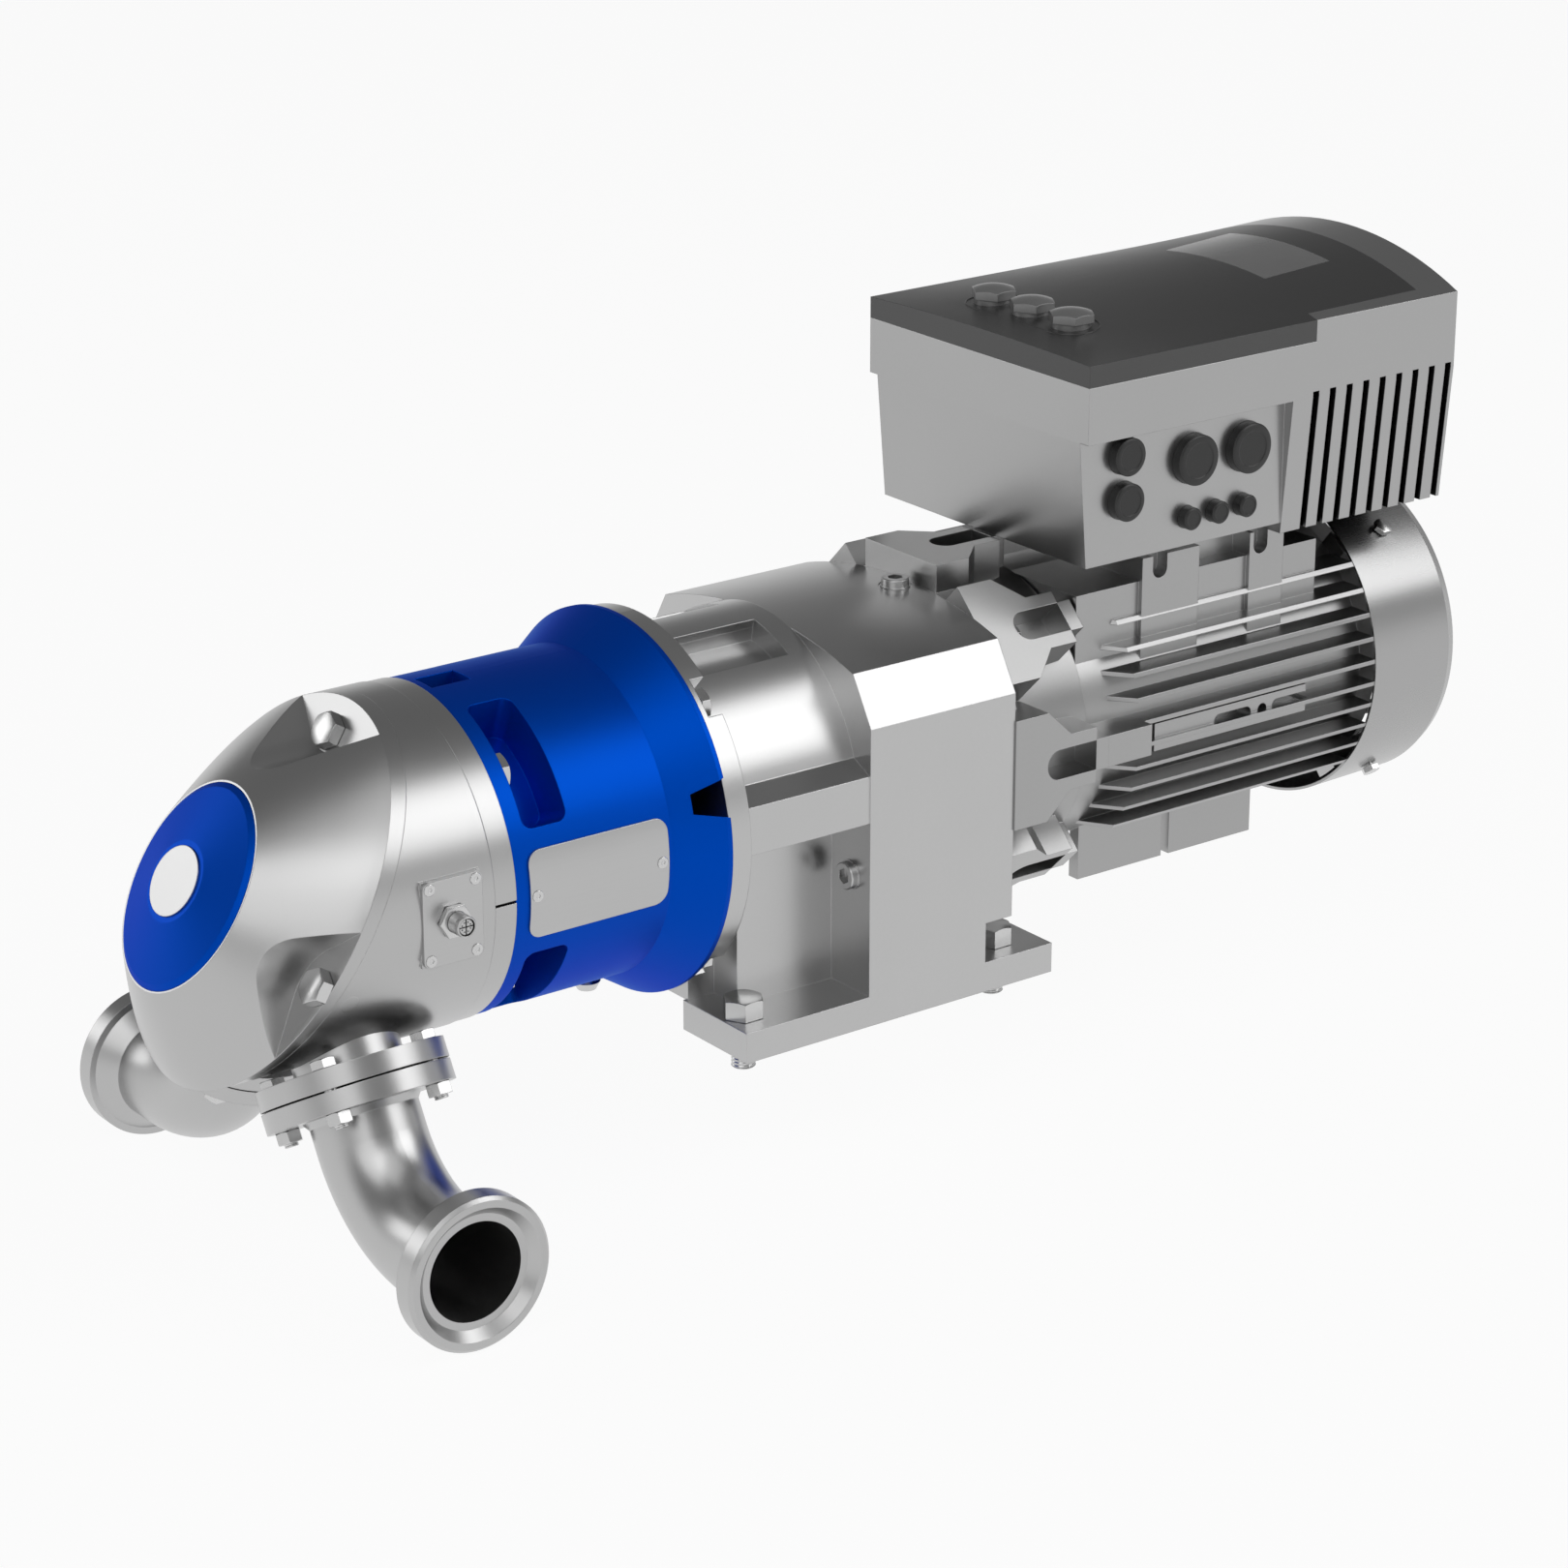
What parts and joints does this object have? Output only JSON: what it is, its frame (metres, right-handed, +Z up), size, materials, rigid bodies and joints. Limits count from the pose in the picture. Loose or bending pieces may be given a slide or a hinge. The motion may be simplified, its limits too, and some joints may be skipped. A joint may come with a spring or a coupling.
{
  "type": "wobble-plate pump",
  "caption": "Wobble-plate pump with slanted front cover, flanged pipe elbows, blue lantern, flange gearbox on feet, finned electric motor and a speed inverter on top.",
  "frame": {"origin": "middle of the four foot studs, on the underside of the feet", "axes": "X along the shaft from the pump head to the fan cover, Z up, Y across, with the outlet and the plugs on the low Y side"},
  "size_m": [0.8653, 0.352, 0.4587],
  "materials": {
    "satin_stainless": "satin ground stainless steel",
    "light_alloy": "fine cast and machined alloy, satin",
    "brushed_sheet": "smooth stainless sheet",
    "blue_paint": "semi-gloss blue paint",
    "machined_steel": "machined steel",
    "bright_fastener": "bright stainless",
    "dark_lid": "dark grey semi-matt",
    "clear_cap": "smoked grey plastic",
    "smoked_window": "glossy smoked pane",
    "black_plastic": "black, semi-matt",
    "elastomer": "dark elastomer",
    "white_polymer": "white fluoropolymer",
    "copper_winding": "varnished copper",
    "core_steel": "laminated core"
  },
  "bodies": {
    "housing": {"pump_head_casing": "satin_stainless", "front_cover": "satin_stainless", "front_cover_bolts": "bright_fastener", "front_cap": "blue_paint", "cap_centre_disc": "satin_stainless", "barrier_plate": "satin_stainless", "hub_seat": "white_polymer", "bearing_carrier": "light_alloy", "pump_bearings": "machined_steel", "pump_shaft_seal": "elastomer", "clamp_ring_halves": "satin_stainless", "lantern": "blue_paint", "lantern_bolts": "bright_fastener", "lantern_drain_plug": "bright_fastener", "nameplate": "brushed_sheet", "plate_screws": "bright_fastener", "sensor_plate": "brushed_sheet", "sensor_socket": "bright_fastener", "sensor_socket_nut": "bright_fastener", "outlet_elbow": "satin_stainless", "inlet_elbow": "satin_stainless", "port_gaskets": "elastomer", "port_flange_bolts": "bright_fastener", "port_flange_nuts": "bright_fastener", "mounting_ring": "light_alloy", "ring_bolts": "bright_fastener", "gearbox_housing": "light_alloy", "vent_plug": "bright_fastener", "gearbox_drain_plug": "bright_fastener", "foot_bolts": "bright_fastener", "gearbox_bearings": "machined_steel", "output_seal": "elastomer", "motor_adapter": "light_alloy", "adapter_bolts": "bright_fastener", "motor_frame": "light_alloy", "stator_core": "core_steel", "stator_windings": "copper_winding", "motor_bearings": "machined_steel", "rear_end_shield": "light_alloy", "fan_cover": "brushed_sheet", "fan_cover_screws": "bright_fastener", "inverter_housing": "light_alloy", "inverter_lid": "dark_lid", "inverter_window": "smoked_window", "lid_caps": "clear_cap", "gland_plugs": "black_plastic", "inverter_mounting_block": "light_alloy"},
    "output_line": {"pump_shaft": "satin_stainless", "coupling_hub_pump": "machined_steel", "coupling_spider": "elastomer", "coupling_hub_gearbox": "machined_steel", "output_shaft": "machined_steel", "output_gear": "machined_steel"},
    "intermediate_line": {"intermediate_shaft": "machined_steel", "intermediate_gear": "machined_steel"},
    "motor_line": {"motor_shaft": "machined_steel", "rotor_core": "core_steel", "cooling_fan": "black_plastic"},
    "wobbler": {"wobble_plate": "satin_stainless", "crank_bearings": "machined_steel"}
  },
  "joints": [
    {"name": "output_spin", "type": "hinge", "parent": "housing", "child": "output_line", "pos_m": [-0.116, 0, 0.128], "axis": [1, 0, 0], "continuous": true},
    {"name": "intermediate_spin", "type": "hinge", "parent": "housing", "child": "intermediate_line", "pos_m": [0, 0, 0.0755], "axis": [1, 0, 0], "continuous": true},
    {"name": "motor_spin", "type": "hinge", "parent": "housing", "child": "motor_line", "pos_m": [0.2, 0, 0.128], "axis": [1, 0, 0], "continuous": true},
    {"name": "wobble", "type": "hinge", "parent": "output_line", "child": "wobbler", "pos_m": [-0.326, 0, 0.128], "axis": [0.9781, 0, 0.2079], "continuous": true}
  ],
  "couplings": [
    {"joint": "intermediate_spin", "follows": "output_spin", "ratio": -1.8},
    {"joint": "motor_spin", "follows": "output_spin", "ratio": 3.24},
    {"joint": "wobble", "follows": "output_spin", "ratio": -1}
  ]
}
